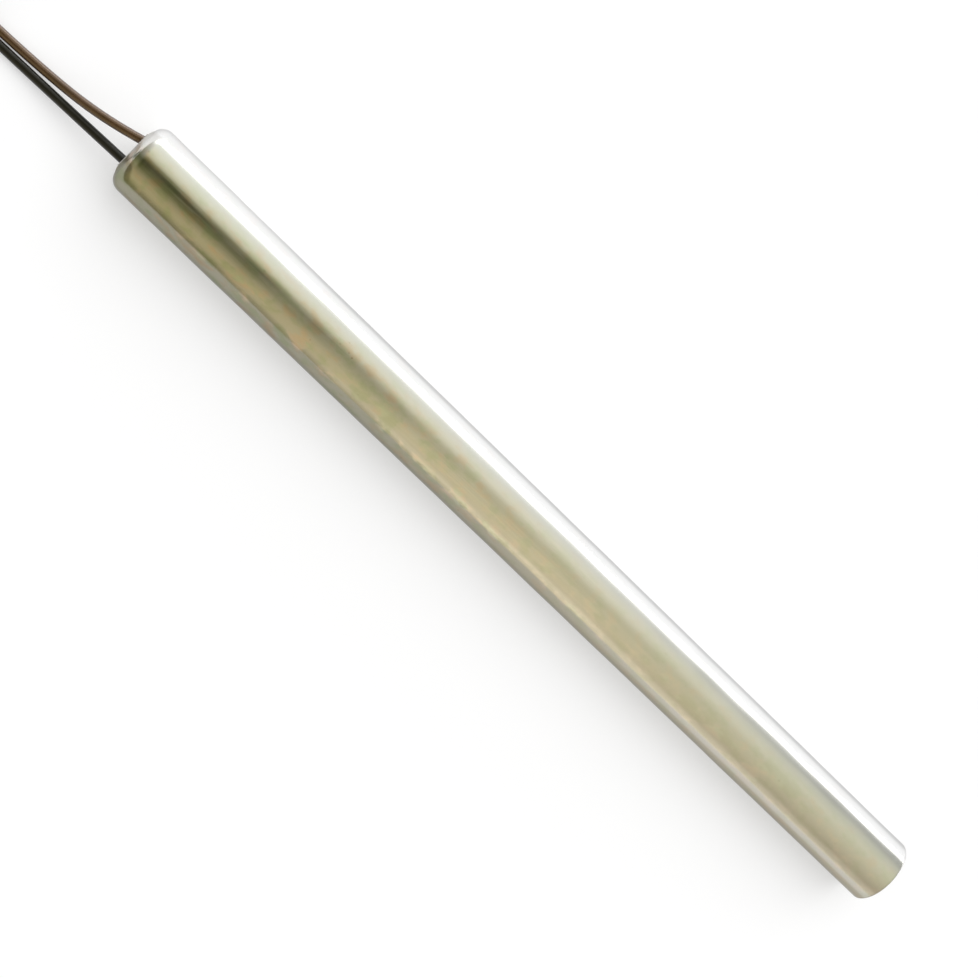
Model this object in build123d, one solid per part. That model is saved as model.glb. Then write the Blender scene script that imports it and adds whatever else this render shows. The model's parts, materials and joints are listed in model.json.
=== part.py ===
from build123d import *
import math
import os

# An igniter cartridge lies on its side along X, its closed tip at +X and its leads leaving at -X.
# The origin is on the surface it lies on, under the middle of the sheath. Millimetres, Z up.

# Sheath: a drawn stainless tube, rolled in at the mouth
SHEATH_LENGTH = 140.0
SHEATH_DIAMETER = 9.9
SHEATH_WALL = 0.7
RIM_RADIUS = 1.8
RIM_RISE = 0.9
MOUTH_DIAMETER = 5.4
LIP_BREAK = 0.15
INNER_BEND = 0.45
TIP_BREAK = 0.15

# Closing disc at the tip, let in a little and welded round its edge
DISC_RECESS = 0.6
DISC_THICKNESS = 1.2
WELD_LEG = 0.45

# Ceramics
CORE_DIAMETER = 5.6
COLD_CORE_DIAMETER = 6.5
PIN_BORE_DIAMETER = 1.25
TIP_INSULATOR_THICKNESS = 1.0
HOT_CORE_LENGTH = 51.8
COLD_CORE_LENGTH = 63.8
WELD_GAP = 1.2
CORE_GAP = 0.2
BUSH_LENGTH = 15.2
BUSH_DIAMETER = 8.4
BUSH_WEB = 3.0
BUSH_POCKET = 2.1

# Conductors: two pins side by side, and the winding that joins their far ends
PIN_SPACING = 3.4
PIN_DIAMETER = 1.1
RIBBON_WIDTH = 1.2
RIBBON_THICKNESS = 0.3
TAIL_WIDTH = 0.7
TAIL_THICKNESS = 0.24
WINDING_TURNS = 5.5
WINDING_MARGIN = 1.0
WINDING_CLEARANCE = 0.03

# Crimped joints between the pins and the leads
BARREL_DIAMETER = 1.9
BARREL_BORE = 1.15
BARREL_LENGTH = 8.0
BARREL_SETBACK = 1.0
SEAL_RECESS = 0.15

# Leads: insulated stranded wire
LEAD_DIAMETER = 1.2
CONDUCTOR_DIAMETER = 0.8
BEND_SHARE = 0.45

# Hank: both leads wound side by side into one long loop, pulled in at its waist by a tie
HANK_CENTRE_X = -115.0
FOLD_RADIUS = 3.75
RING_PITCH = 1.25
LEVEL_PITCH = 1.22
LEVELS = 5
HALF_RUN = 12.0
HALF_WAIST = 1.5
WAIST_DEPTH = 2.8
TIE_WIDTH = 2.4
TIE_THICKNESS = 0.5
TIE_CLEARANCE = 0.05
TIE_HEAD = (3.2, 2.1, 3.0)

# Ferrules on the leads' ends
FERRULE_PIN_DIAMETER = 1.1
FERRULE_PIN_LENGTH = 6.0
COLLAR_DIAMETER = 2.7
COLLAR_LENGTH = 5.0
COLLAR_BREAK = 0.4

# Places along X that follow from those sizes
AXIS_HEIGHT = SHEATH_DIAMETER / 2
BORE_DIAMETER = SHEATH_DIAMETER - 2 * SHEATH_WALL
TIP_X = SHEATH_LENGTH / 2
MOUTH_X = -TIP_X
SIDE = PIN_SPACING / 2
DISC_FRONT_X = TIP_X - DISC_RECESS
TIP_INSULATOR_X = DISC_FRONT_X - DISC_THICKNESS - CORE_GAP
HOT_CORE_X = TIP_INSULATOR_X - TIP_INSULATOR_THICKNESS - WELD_GAP
COLD_CORE_X = HOT_CORE_X - HOT_CORE_LENGTH - WELD_GAP
BUSH_X = COLD_CORE_X - COLD_CORE_LENGTH - CORE_GAP
SEAL_X = BUSH_X - BUSH_LENGTH - CORE_GAP / 2
EXIT_X = MOUTH_X + SEAL_RECESS
BARREL_X = BUSH_X - BUSH_WEB - BARREL_SETBACK
JOINT_X = BARREL_X - BARREL_LENGTH / 2

# Heights and widths of the hank
HANK_HEIGHT = LEAD_DIAMETER + (LEVELS - 1) * LEVEL_PITCH
OUTER_FOLD = FOLD_RADIUS + RING_PITCH
WAIST_HALF_WIDTH = OUTER_FOLD - WAIST_DEPTH + LEAD_DIAMETER / 2
FLOOR_Z = LEAD_DIAMETER / 2
TOP_LEVEL_Z = FLOOR_Z + (LEVELS - 1) * LEVEL_PITCH
REST_Z = HANK_HEIGHT + COLLAR_DIAMETER / 2

# Routes of the leads: from the mouth down to the surface and back into the hank
BROWN_ROUTE = [
    (EXIT_X, 1.70, AXIS_HEIGHT),
    (-75.1, 0.20, 4.60),
    (-85.2, -0.72, 0.64),
    (-99.0, -0.95, 0.60),
]
BLACK_ROUTE = [
    (EXIT_X, -1.70, AXIS_HEIGHT),
    (-84.3, -2.06, 0.64),
    (-99.0, -2.20, 0.60),
]

# Routes of the leads' ends: out of the top of the hank at its tie, and up to their ferrules
BROWN_TAIL = [
    (HANK_CENTRE_X + HALF_WAIST, 0.95, TOP_LEVEL_Z),
    (HANK_CENTRE_X + 9.5, 3.90, REST_Z),
]
BLACK_TAIL = [
    (HANK_CENTRE_X - HALF_WAIST, -2.20, TOP_LEVEL_Z),
    (HANK_CENTRE_X - 9.5, -4.10, REST_Z),
]


def rod(front, length, diameter, side=0.0):
    """A round bar along X that reaches back from front, set aside from the sheath's axis by side."""
    middle = Pos(front - length / 2, side, AXIS_HEIGHT) * Rot(0, 90, 0)
    return middle * Cylinder(diameter / 2, length)


def turned(profile):
    """A ring or cup turned about the sheath's axis from a profile of X against radius."""
    return Pos(0, 0, AXIS_HEIGHT) * revolve(profile, Axis.X)


def sheath():
    """The tube: its wall turns in at the mouth, rises a little to the lip and is turned about X."""
    outer = SHEATH_DIAMETER / 2
    inner = outer - SHEATH_WALL
    mouth = MOUTH_DIAMETER / 2
    lean = math.atan(RIM_RISE / (outer - mouth))
    lip_depth = SHEATH_WALL / math.cos(lean)
    inner_bend_x = MOUTH_X + lip_depth + (inner - mouth) * math.tan(lean)
    wall = make_face(
        Polyline(
            (TIP_X, inner),
            (TIP_X, outer),
            (MOUTH_X + RIM_RISE, outer),
            (MOUTH_X, mouth),
            (MOUTH_X + lip_depth, mouth),
            (inner_bend_x, inner),
            close=True,
        )
    )
    corners = wall.vertices()
    lip = corners.group_by(Axis.Y)[0]
    tip, rim = corners.group_by(Axis.Y)[-1].sort_by(Axis.X)[::-1]
    bend = corners.group_by(Axis.Y)[1].sort_by(Axis.X)[0]
    wall = fillet(rim, RIM_RADIUS)
    wall = chamfer([v for v in wall.vertices() if v.center() == bend.center()], INNER_BEND)
    wall = chamfer([v for v in wall.vertices() if v.center() in [c.center() for c in lip]], LIP_BREAK)
    wall = chamfer([v for v in wall.vertices() if v.center() == tip.center()], TIP_BREAK)
    return turned(wall)


def tip_disc():
    """The closing disc with its weld, a bead in the corner between the disc and the tube's bore."""
    bore = BORE_DIAMETER / 2
    back_x = DISC_FRONT_X - DISC_THICKNESS
    half_section = Polyline(
        (back_x, 0),
        (DISC_FRONT_X, 0),
        (DISC_FRONT_X, bore - WELD_LEG),
        (DISC_FRONT_X + WELD_LEG, bore),
        (back_x, bore),
        close=True,
    )
    return turned(make_face(half_section))


def two_bore(front, length, diameter, bore):
    """A round ceramic with a bore for each pin."""
    body = rod(front, length, diameter)
    for side in (SIDE, -SIDE):
        body -= rod(front, length, bore, side)
    return body


def magnesia_fill():
    """The pressed powder between the cores and the sheath."""
    back = BUSH_X + CORE_GAP
    front = TIP_INSULATOR_X - TIP_INSULATOR_THICKNESS - CORE_GAP / 2
    inner = COLD_CORE_DIAMETER + 2 * WINDING_CLEARANCE
    return rod(front, front - back, BORE_DIAMETER) - rod(front, front - back, inner)


def rear_bush():
    """The ceramic bush: a pocket for each crimped joint, and a web with holes for the pins."""
    body = two_bore(BUSH_X, BUSH_LENGTH, BUSH_DIAMETER, PIN_BORE_DIAMETER)
    pocket_front = BUSH_X - BUSH_WEB
    for side in (SIDE, -SIDE):
        body -= rod(pocket_front, BUSH_LENGTH - BUSH_WEB, BUSH_POCKET, side)
    return body


def winding_end(anchor_x, end_x, side):
    """A tail of the ribbon: along the core from its last turn, and then straight in to the pin."""
    radius = CORE_DIAMETER / 2 + WINDING_CLEARANCE
    reach = abs(end_x - anchor_x) + RIBBON_WIDTH
    along_y = side * (radius + RIBBON_THICKNESS / 2)
    along = Pos((anchor_x + end_x) / 2, along_y, AXIS_HEIGHT) * Box(reach, TAIL_THICKNESS, TAIL_WIDTH)
    inward_length = along_y * side + TAIL_THICKNESS / 2 - SIDE
    inward_y = side * (SIDE + inward_length / 2)
    inward_x = end_x + side * (RIBBON_WIDTH - TAIL_THICKNESS) / 2
    inward = Pos(inward_x, inward_y, AXIS_HEIGHT) * Box(TAIL_THICKNESS, inward_length, TAIL_WIDTH)
    return along + inward


def heating_coil(pins):
    """The ribbon wound round the hot core, with a tail welded to each pin."""
    rear_x = HOT_CORE_X - HOT_CORE_LENGTH + WINDING_MARGIN
    front_x = HOT_CORE_X - WINDING_MARGIN
    radius = (CORE_DIAMETER + RIBBON_THICKNESS) / 2 + WINDING_CLEARANCE
    pitch = (front_x - rear_x) / WINDING_TURNS
    start = Plane(origin=(rear_x, 0, AXIS_HEIGHT), x_dir=(0, -1, 0), z_dir=(1, 0, 0))
    line = start * Helix(pitch, front_x - rear_x, radius)
    section = Plane(origin=line @ 0, x_dir=(0, 1, 0), z_dir=line % 0) * Rectangle(RIBBON_THICKNESS, RIBBON_WIDTH)
    coil = sweep(section, path=line, is_frenet=True)
    coil += winding_end(rear_x, rear_x - WINDING_MARGIN - WELD_GAP / 2, -1)
    coil += winding_end(front_x, front_x + WINDING_MARGIN + WELD_GAP / 2, 1)
    for pin in pins:
        coil -= pin
    return coil


def contact_pin(core_front, side):
    """A pin from the crimped joint to just past the front of a core, where the winding is welded to it."""
    front = core_front + WELD_GAP - CORE_GAP
    return rod(front, front - JOINT_X, PIN_DIAMETER, side)


def crimp_barrel(side):
    """The tube crimped on a pin and on a lead's strands."""
    return rod(BARREL_X, BARREL_LENGTH, BARREL_DIAMETER, side) - rod(BARREL_X, BARREL_LENGTH, BARREL_BORE, side)


def inner_lead(side):
    """The lead's insulation where it passes through the seal."""
    length = BARREL_X - BARREL_LENGTH - EXIT_X - CORE_GAP
    tube = rod(EXIT_X + length, length, LEAD_DIAMETER, side)
    return tube - rod(EXIT_X + length, length, CONDUCTOR_DIAMETER, side)


def conductor(side):
    """The lead's strands inside that insulation, bared at the end that enters the barrel."""
    front = JOINT_X - CORE_GAP
    return rod(front, front - EXIT_X, CONDUCTOR_DIAMETER, side)


def mouth_seal():
    """The potted seal, poured behind the lip and almost level with it, round the two leads."""
    bore = BORE_DIAMETER / 2
    mouth = MOUTH_DIAMETER / 2
    lean = math.atan(RIM_RISE / (SHEATH_DIAMETER / 2 - mouth))
    lip_x = MOUTH_X + SHEATH_WALL / math.cos(lean)
    half_section = Polyline(
        (SEAL_X, 0),
        (SEAL_X, bore),
        (lip_x + (bore - mouth) * math.tan(lean) + INNER_BEND, bore),
        (lip_x + LIP_BREAK, mouth),
        (EXIT_X, mouth),
        (EXIT_X, 0),
        close=True,
    )
    body = turned(make_face(half_section))
    for side in (SIDE, -SIDE):
        body -= rod(SEAL_X, SEAL_X - EXIT_X, LEAD_DIAMETER, side)
    return body


def hank_ring(fold, half_width):
    """The face between two parallel copies of a loop: round folds joined by sides drawn in at the waist."""
    quarters = []
    for turn in (1, -1):
        fold_end = Vector(turn * HALF_RUN, turn * fold)
        waist_start = Vector(turn * HALF_WAIST, turn * (fold - WAIST_DEPTH))
        waist_end = Vector(-turn * HALF_WAIST, turn * (fold - WAIST_DEPTH))
        next_fold = Vector(-turn * HALF_RUN, turn * fold)
        draw_in = TangentArc(fold_end, (fold_end + waist_start) / 2, tangent=(-turn, 0))
        settle = TangentArc(draw_in @ 1, waist_start, tangent=draw_in % 1)
        waist = Line(waist_start, waist_end)
        draw_out = TangentArc(waist_end, (waist_end + next_fold) / 2, tangent=(-turn, 0))
        straighten = TangentArc(draw_out @ 1, next_fold, tangent=draw_out % 1)
        end = RadiusArc(next_fold, (-turn * HALF_RUN, -turn * fold), -fold)
        quarters += [draw_in, settle, waist, draw_out, straighten, end]
    loop = Wire([edge for piece in quarters for edge in piece.edges()])
    outside = loop.offset_2d(half_width)
    inside = loop.offset_2d(-half_width)
    return make_face(outside.edges()) - make_face(inside.edges())


def lead_hank():
    """The outer shape of the wound leads, let in at the waist so that the tie lies level under it."""
    ring = hank_ring(FOLD_RADIUS + RING_PITCH / 2, (RING_PITCH + LEAD_DIAMETER) / 2)
    body = Pos(HANK_CENTRE_X, 0, 0) * extrude(ring, HANK_HEIGHT)
    tie_floor = TIE_THICKNESS + TIE_CLEARANCE
    return body - Pos(HANK_CENTRE_X, 0, 0) * Box(2 * HALF_WAIST, 4 * OUTER_FOLD, 2 * tie_floor)


def hank_tie():
    """The tie: one band round the waist of the hank, with its locking head at one side."""
    inner_width = 2 * (WAIST_HALF_WIDTH + TIE_CLEARANCE)
    inner_height = HANK_HEIGHT - TIE_THICKNESS + TIE_CLEARANCE
    middle_z = TIE_THICKNESS + inner_height / 2
    centre = Plane(origin=(HANK_CENTRE_X, 0, middle_z), x_dir=(0, 1, 0), z_dir=(1, 0, 0))
    outer_size = (inner_width + 2 * TIE_THICKNESS, inner_height + 2 * TIE_THICKNESS)
    outside = RectangleRounded(*outer_size, 2 * TIE_THICKNESS)
    inside = Rectangle(inner_width, inner_height)
    band = extrude(centre * (outside - inside), TIE_WIDTH / 2, both=True)
    head_y = inner_width / 2 + TIE_HEAD[1] / 2
    head = Pos(HANK_CENTRE_X, head_y, middle_z) * Box(*TIE_HEAD)
    return band + head


def lead_from_mouth(points, hank):
    """A lead's free stretch: cut square where it leaves the seal, and ending where it enters the hank."""
    first_run = (Vector(*points[0]) - Vector(*points[1])).normalized()
    inside = Vector(*points[0]) + first_run * LEAD_DIAMETER
    tube = cord_tube([tuple(inside), *points[1:]])
    return tube - rod(SEAL_X, SEAL_X - EXIT_X, BORE_DIAMETER) - hank


def cord_tube(points):
    """A lead along straight runs joined by tangent arcs, each as large as its two runs allow."""
    corners = [Vector(*point) for point in points]
    radii = []
    for before, corner, after in zip(corners, corners[1:], corners[2:]):
        half_turn = math.radians((corner - before).get_angle(after - corner)) / 2
        shorter_run = min((corner - before).length, (after - corner).length)
        radii.append(BEND_SHARE * shorter_run / math.tan(half_turn))
    path = FilletPolyline(*corners, radius=radii) if radii else Line(*corners)
    print("cord bend radii", [round(radius, 1) for radius in radii], "length", round(path.length, 1))
    section = Plane(origin=path @ 0, z_dir=path % 0) * Circle(LEAD_DIAMETER / 2)
    tube = sweep(section, path=path)
    print("cord volume over section times length", round(tube.volume / (section.area * path.length), 4))
    return tube


def ferrule(points):
    """The collar and the tinned tube on a lead's end, which lie level on top of the hank."""
    end = Vector(*points[-1])
    last_run = end - Vector(*points[-2])
    level = Vector(last_run.X, last_run.Y / 4, 0).normalized()
    collar = extrude(Plane(origin=end, z_dir=level) * Circle(COLLAR_DIAMETER / 2), COLLAR_LENGTH)
    pin_start = end + level * COLLAR_LENGTH
    neck = collar.edges().filter_by(GeomType.CIRCLE).sort_by_distance(pin_start)[0]
    collar = chamfer(neck, COLLAR_BREAK)
    pin = extrude(Plane(origin=pin_start, z_dir=level) * Circle(FERRULE_PIN_DIAMETER / 2), FERRULE_PIN_LENGTH)
    return collar, pin


def build():
    """Every piece of the igniter by the name of its node."""
    long_pin = contact_pin(HOT_CORE_X, SIDE)
    short_pin = contact_pin(COLD_CORE_X, -SIDE)
    hank = lead_hank()
    tie = hank_tie()
    brown_collar, brown_ferrule = ferrule(BROWN_TAIL)
    black_collar, black_ferrule = ferrule(BLACK_TAIL)
    return {
        "sheath": sheath(),
        "tip_disc": tip_disc(),
        "tip_insulator": rod(TIP_INSULATOR_X, TIP_INSULATOR_THICKNESS, BUSH_DIAMETER),
        "hot_core": two_bore(HOT_CORE_X, HOT_CORE_LENGTH, CORE_DIAMETER, PIN_BORE_DIAMETER),
        "cold_core": two_bore(COLD_CORE_X, COLD_CORE_LENGTH, COLD_CORE_DIAMETER, PIN_BORE_DIAMETER),
        "magnesia_fill": magnesia_fill(),
        "heating_coil": heating_coil([long_pin, short_pin]),
        "long_pin": long_pin,
        "short_pin": short_pin,
        "rear_bush": rear_bush(),
        "long_pin_barrel": crimp_barrel(SIDE),
        "short_pin_barrel": crimp_barrel(-SIDE),
        "mouth_seal": mouth_seal(),
        "brown_inner_lead": inner_lead(SIDE),
        "black_inner_lead": inner_lead(-SIDE),
        "brown_conductor": conductor(SIDE),
        "black_conductor": conductor(-SIDE),
        "brown_lead": lead_from_mouth(BROWN_ROUTE, hank),
        "black_lead": lead_from_mouth(BLACK_ROUTE, hank),
        "lead_hank": hank,
        "hank_tie": tie,
        "brown_lead_end": cord_tube(BROWN_TAIL) - hank - tie - brown_collar,
        "black_lead_end": cord_tube(BLACK_TAIL) - hank - tie - black_collar,
        "brown_collar": brown_collar,
        "black_collar": black_collar,
        "brown_ferrule": brown_ferrule,
        "black_ferrule": black_ferrule,
    }


os.makedirs("parts", exist_ok=True)
for name, shape in build().items():
    export_step(shape, f"parts/{name}.step")
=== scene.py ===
import json
import math

import bpy
import numpy as np
from bpy.props import FloatProperty, FloatVectorProperty, IntProperty, PointerProperty
from mathutils import Matrix, Vector


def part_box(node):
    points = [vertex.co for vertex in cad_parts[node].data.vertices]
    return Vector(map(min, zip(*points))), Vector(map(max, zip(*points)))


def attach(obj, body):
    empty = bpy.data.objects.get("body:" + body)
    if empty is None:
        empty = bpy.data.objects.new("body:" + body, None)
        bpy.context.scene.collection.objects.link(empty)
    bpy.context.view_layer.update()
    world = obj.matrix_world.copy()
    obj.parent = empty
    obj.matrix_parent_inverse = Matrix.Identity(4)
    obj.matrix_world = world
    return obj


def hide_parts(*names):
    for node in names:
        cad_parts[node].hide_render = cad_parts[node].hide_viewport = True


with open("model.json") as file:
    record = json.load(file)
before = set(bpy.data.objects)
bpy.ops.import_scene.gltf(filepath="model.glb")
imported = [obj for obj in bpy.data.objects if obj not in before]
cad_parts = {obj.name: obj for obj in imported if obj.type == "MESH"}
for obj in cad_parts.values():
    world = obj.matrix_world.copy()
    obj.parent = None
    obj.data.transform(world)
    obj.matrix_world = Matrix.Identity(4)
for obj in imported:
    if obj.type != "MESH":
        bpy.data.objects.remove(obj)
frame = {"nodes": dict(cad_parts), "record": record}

bl_info = {
    "name": "Stove Igniter",
    "version": (1, 0, 0),
    "blender": (4, 5, 0),
    "location": "3D View > Sidebar > Igniter",
    "description": "Dresses the packed igniter with its steel sheath, seal, wound leads and ferrules",
    "category": "Object",
}

# Side of the square picture in pixels
IMAGE_SIZE = 978

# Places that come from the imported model, in metres
SHEATH_LOW, SHEATH_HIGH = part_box("sheath")
MOUTH_X = SHEATH_LOW.x
TIP_X = SHEATH_HIGH.x
DISC_LOW, DISC_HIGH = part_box("tip_disc")
_, SEAL_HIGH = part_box("mouth_seal")
TIE_LOW, TIE_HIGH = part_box("hank_tie")
_, HANK_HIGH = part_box("lead_hank")
MOUNTS = {mount["name"]: mount for mount in frame["record"]["mounts"]}

# The sheath's outside radius in metres, which is also the height of its axis where it lies
AXIS_HEIGHT = 0.00495

# Routes of the leads in metres, from the mouth down to the surface and into the hank
EXIT_X = -0.06985
BROWN_ROUTE = [
    (EXIT_X, 0.00170, 0.00495),
    (-0.0751, 0.00020, 0.00460),
    (-0.0852, -0.00072, 0.00064),
    (-0.0990, -0.00095, 0.00060),
]
BLACK_ROUTE = [
    (EXIT_X, -0.00170, 0.00495),
    (-0.0843, -0.00206, 0.00064),
    (-0.0990, -0.00220, 0.00060),
]

# Routes of the leads' ends, from the waist of the hank up to their ferrules
BROWN_TAIL = [
    (-0.1135, 0.00095, 0.00548),
    (-0.1055, 0.00390, 0.00743),
]
BLACK_TAIL = [
    (-0.1165, -0.00220, 0.00548),
    (-0.1245, -0.00410, 0.00743),
]

# Slow waves left in the drawn tube: seed, lobes round it, and rates along it in radians per metre
WAVE_SEED = 5
WAVE_LOBES = range(2, 9)
WAVE_RATES = (150, 900)

# The room that the polished steel shows, by the turn round X in degrees from straight up towards +Y
BRIGHT = (4.0, 4.0, 3.95)
OVER_MOUTH = [
    (-80, (0.43, 0.40, 0.23)),
    (-60, (0.58, 0.53, 0.30)),
    (-40, (0.43, 0.38, 0.21)),
    (-18, (0.12, 0.12, 0.045)),
    (2, (0.035, 0.035, 0.012)),
    (12, (0.20, 0.19, 0.09)),
    (22, (0.62, 0.60, 0.41)),
    (40, (0.85, 0.85, 0.68)),
    (68, (0.93, 0.96, 0.88)),
    (82, BRIGHT),
]
OVER_MIDDLE = [
    (-77, (1.45, 1.37, 1.15)),
    (-62, (1.00, 0.93, 0.71)),
    (-45, (0.93, 0.85, 0.59)),
    (-5, (0.62, 0.58, 0.39)),
    (5, (0.64, 0.60, 0.42)),
    (30, (0.86, 0.83, 0.66)),
    (60, (0.84, 0.85, 0.78)),
    (70, (0.98, 1.00, 0.95)),
    (82, BRIGHT),
]
OVER_TIP = [
    (-90, (1.15, 1.12, 1.02)),
    (-60, (0.60, 0.56, 0.44)),
    (-20, (0.66, 0.63, 0.46)),
    (20, (0.70, 0.69, 0.53)),
    (45, (0.60, 0.61, 0.51)),
    (60, (0.44, 0.45, 0.41)),
    (77, (0.48, 0.49, 0.46)),
    (87, BRIGHT),
]

# The room behind the mouth, by the direction's Y
BEHIND_MOUTH = [
    (-0.8, (0.36, 0.33, 0.23)),
    (-0.3, (0.33, 0.31, 0.18)),
    (0.0, (0.08, 0.08, 0.04)),
    (0.35, (0.42, 0.42, 0.35)),
    (0.8, (0.75, 0.76, 0.72)),
]


# Settings


def metres(name, description, default):
    """A setting for a length, with its default in metres."""
    return FloatProperty(name=name, description=description, default=default, unit="LENGTH")


def degrees(name, description, default):
    """A setting for an angle, with its default in degrees."""
    return FloatProperty(name=name, description=description, default=math.radians(default), subtype="ANGLE")


def shade(name, description, default):
    """A setting for a colour."""
    return FloatVectorProperty(name=name, description=description, default=default, subtype="COLOR")


class SheathSettings(bpy.types.PropertyGroup):
    """The drawn steel tube, its rolled mouth, its welded tip and its seal."""

    wall: metres("Wall", "Thickness of the tube", 0.0007)
    rim_radius: metres("Rim radius", "Outside radius of the rolled rim", 0.0018)
    rim_rise: metres("Rim rise", "How far the lip stands out behind the rim", 0.0009)
    mouth_radius: metres("Mouth radius", "Radius of the opening for the leads", 0.0027)
    edge_break: metres("Edge break", "Radius of the sharp edges", 0.00015)
    tip_break: metres("Tip break", "Radius of the tip's outer edge", 0.0003)
    waviness: metres("Waviness", "Depth of the slow waves left by drawing", 0.00004)
    weld_leg: metres("Weld leg", "Size of the bead round the closing disc", 0.00045)
    ripples: IntProperty(name="Ripples", description="Ripples round the weld bead", default=54, min=3)
    seal_climb: metres("Seal climb", "How far the seal climbs up the leads", 0.00022)


class LeadSettings(bpy.types.PropertyGroup):
    """The two insulated leads, their ferrules and the tie."""

    diameter: metres("Diameter", "Diameter of a lead", 0.0012)
    spacing: metres("Spacing", "Between the leads' middles at the mouth", 0.0034)
    brown_length: metres("Brown length", "Length of the brown lead", 0.388)
    black_length: metres("Black length", "Length of the black lead", 0.382)
    collar_radius: metres("Collar radius", "Radius of a ferrule's collar", 0.00135)
    collar_length: metres("Collar length", "Length of a ferrule's collar", 0.005)
    pin_radius: metres("Pin radius", "Radius of a ferrule's tube", 0.00055)
    pin_length: metres("Pin length", "Length of a ferrule's tube", 0.006)
    tie_thickness: metres("Tie thickness", "Thickness of the tie's strap", 0.0005)


class HankSettings(bpy.types.PropertyGroup):
    """The long loop of both leads, drawn in at its waist by the tie."""

    centre_x: metres("Centre", "Middle of the hank", -0.115)
    fold_radius: metres("Fold radius", "Radius of the inner lead's fold", 0.00375)
    ring_pitch: metres("Ring pitch", "Distance between the two leads of a turn", 0.00125)
    level_pitch: metres("Level pitch", "Height from one turn to the next", 0.00122)
    half_run: metres("Half run", "From the waist to the start of a fold", 0.012)
    half_waist: metres("Half waist", "Half the length of the straight waist", 0.0015)
    waist_depth: metres("Waist depth", "How far the tie draws each side in", 0.0028)
    full_turns: IntProperty(name="Full turns", description="Whole turns of each lead", default=4, min=1)
    fold_points: IntProperty(name="Fold points", description="Points round a fold", default=6, min=4)


class FinishSettings(bpy.types.PropertyGroup):
    """Colours of the materials."""

    steel: shade("Steel", "Polished sheath", (0.80, 0.79, 0.77))
    # Painted highlight: a lighter steel colour for the sheath's +Y side, where the light falls
    painted_highlight_steel: shade("Bright steel", "Brightest side of the sheath", (0.95, 0.95, 0.95))
    # Painted shade: a darker, warmer steel colour for the sheath's -Y side
    painted_shade_steel: shade("Tinted steel", "Tinted side of the sheath", (0.46, 0.42, 0.33))
    # Deeper painted shade, low on the -Y side near the mouth and on that side of the rim
    deep_painted_shade_steel: shade("Deep steel", "Deepest tint, near the mouth", (0.32, 0.305, 0.235))
    warm_cloud: shade("Warm cloud", "Share that warm clouds let through", (1.0, 0.86, 0.75))
    green_cloud: shade("Green cloud", "Share that greenish clouds let through", (0.86, 0.93, 0.8))
    # Share let through by the painted shade along the sheath's +Y edge, and at the darker tip end
    edge_shade_and_tip_share: shade("Dull edge", "Share that the dull strip lets through", (0.82, 0.82, 0.82))
    pit: shade("Pit", "Share that small pits let through", (0.62, 0.6, 0.52))
    straw: shade("Straw", "First tint of the weld's heat", (0.58, 0.44, 0.24))
    plum: shade("Plum", "Second tint of the weld's heat", (0.34, 0.22, 0.24))
    blue: shade("Blue", "Last tint of the weld's heat", (0.24, 0.27, 0.36))
    disc_steel: shade("Disc steel", "Turned face of the tip", (0.62, 0.61, 0.58))
    bead: shade("Bead", "Weld bead round the tip", (0.40, 0.39, 0.37))
    brown: shade("Brown", "Brown insulation", (0.055, 0.025, 0.010))
    black: shade("Black", "Black insulation", (0.008, 0.0068, 0.0045))
    seal: shade("Seal", "Potting compound", (0.72, 0.7, 0.66))
    ceramic: shade("Ceramic", "Cores, bush and insulator", (0.86, 0.84, 0.78))
    magnesia: shade("Magnesia", "Pressed powder", (0.88, 0.88, 0.86))
    ribbon: shade("Ribbon", "Resistance ribbon", (0.42, 0.38, 0.34))
    nickel: shade("Nickel", "Pins", (0.66, 0.62, 0.55))
    plated: shade("Plated brass", "Crimped barrels", (0.70, 0.67, 0.58))
    copper: shade("Copper", "Bared strands", (0.82, 0.48, 0.31))
    tinned: shade("Tinned copper", "Ferrule tubes", (0.76, 0.76, 0.74))
    tie: shade("Tie", "Moulded tie", (0.82, 0.82, 0.79))
    collar: shade("Collar", "Ferrule collars", (0.78, 0.78, 0.75))


class StageSettings(bpy.types.PropertyGroup):
    """The floor, lamp, sky and camera."""

    lens_pixels: FloatProperty(
        name="Focal length", description="Focal length in pixels of the square frame", default=2118.0
    )
    camera_height: metres("Camera height", "Height above the sheath's axis", 0.2684)
    camera_side: metres("Camera side", "Offset of the camera from the sheath's axis", 0.00047)
    camera_tilt: degrees("Camera tilt", "Turn of the view from straight down towards the tip", 13.08)
    camera_roll: degrees("Camera roll", "Slope of the sheath down across the frame", 44.03)
    floor: shade("Floor", "Colour of the floor", (0.6, 0.6, 0.6))
    floor_lift: FloatProperty(
        name="Floor lift", description="Light that the floor adds to what is seen of it", default=0.42
    )
    key_strength: FloatProperty(name="Key", description="Strength of the key lamp", default=1.5)
    key_angle: degrees("Key size", "Angle that the key lamp spans", 60)
    fill: FloatProperty(name="Fill", description="Level of the even light from all round", default=0.6)


# Surfaces


def around(count):
    """Angles in even steps round a full turn, as one row."""
    return np.linspace(0, 2 * math.pi, count, endpoint=False)[None, :]


def round_points(stations, radii, angles):
    """Points round the X axis: X is the station, Y the radius times the angle's cosine, Z its sine."""
    across = radii * np.cos(angles)
    up = radii * np.sin(angles)
    return np.stack([np.broadcast_to(stations, across.shape), across, up], axis=-1)


def turned_points(stations, radii, angles):
    """Points round the sheath's axis."""
    return round_points(stations, radii, angles) + [0, 0, AXIS_HEIGHT]


def placed_points(points, origin, heading):
    """Points given along, across and above a level direction, put where they belong."""
    heading = heading / np.linalg.norm(heading)
    side = np.cross([0, 0, 1], heading)
    return points @ np.stack([heading, side, [0, 0, 1]]) + origin


def unit(vectors):
    """Each row brought to a length of 1."""
    return vectors / np.linalg.norm(vectors, axis=1, keepdims=True)


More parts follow.
